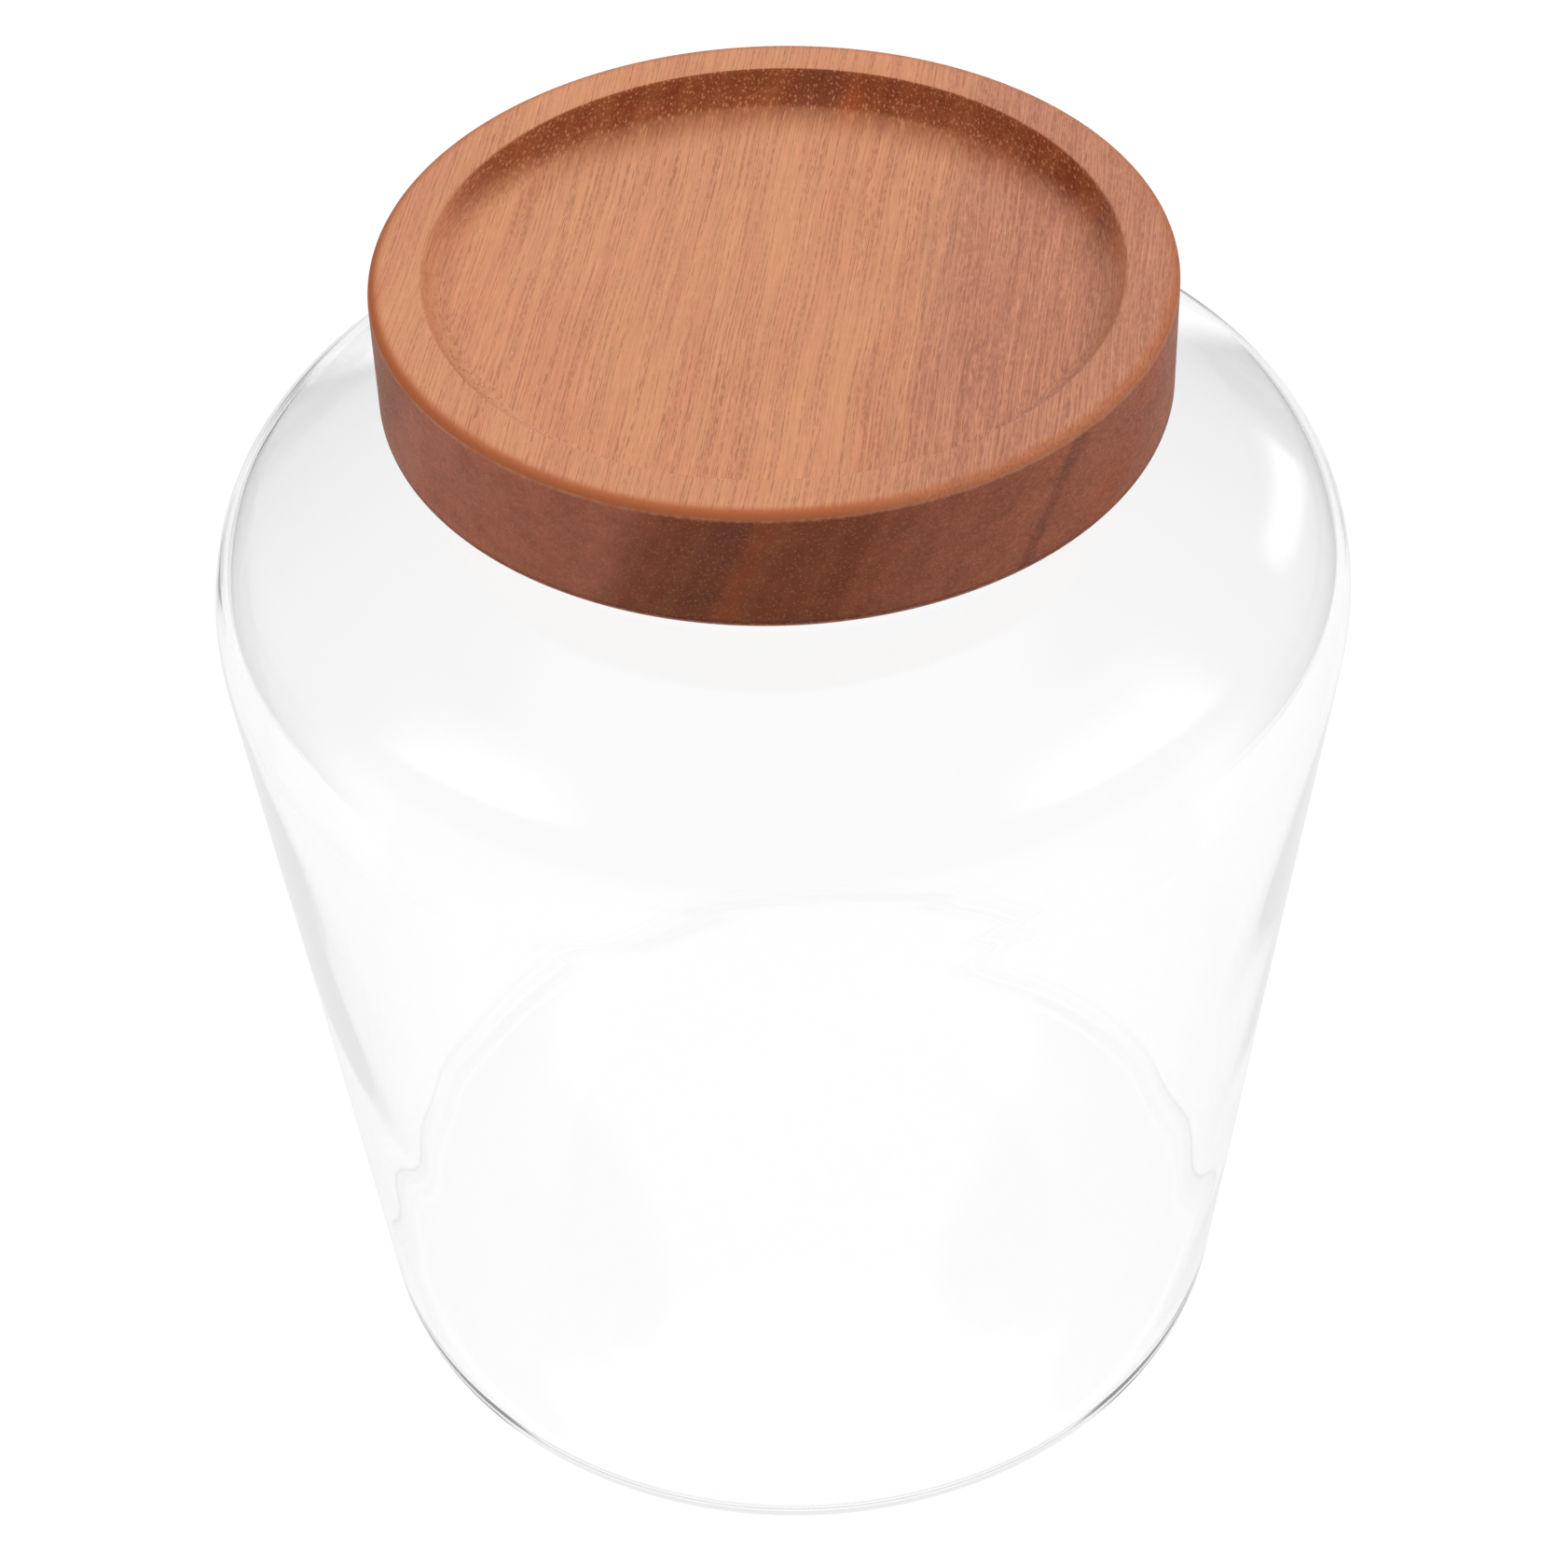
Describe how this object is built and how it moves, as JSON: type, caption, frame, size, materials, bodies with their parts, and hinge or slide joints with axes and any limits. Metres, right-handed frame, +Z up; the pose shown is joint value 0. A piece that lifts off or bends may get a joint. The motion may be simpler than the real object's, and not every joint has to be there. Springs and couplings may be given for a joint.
{
  "type": "glass storage jar with wooden lid",
  "caption": "Clear glass storage jar, widening from a round foot to broad shoulders, with a dished turned wooden lid that plugs the mouth on a silicone ring.",
  "frame": {"origin": "centre of the foot, on the surface that the jar stands on", "axes": "+Z up along the axis that every piece is turned about; the jar looks the same from every side, so +X and +Y are any two level directions, with +Y away from the picture's camera"},
  "size_m": [0.1708, 0.1708, 0.2008],
  "materials": {
    "clear_glass": "clear, fire-polished, smooth inside and out",
    "acacia_wood": "turned and oiled, satin, fine open pores",
    "silicone": "translucent white, matt"
  },
  "bodies": {
    "jar": {"glass_jar": "clear_glass"},
    "lid": {"wooden_lid": "acacia_wood", "seal_ring": "silicone"}
  },
  "joints": [
    {"name": "lid_lift", "type": "slide", "parent": "jar", "child": "lid", "axis": [0, 0, 1], "range_m": [0, 0.12]}
  ]
}
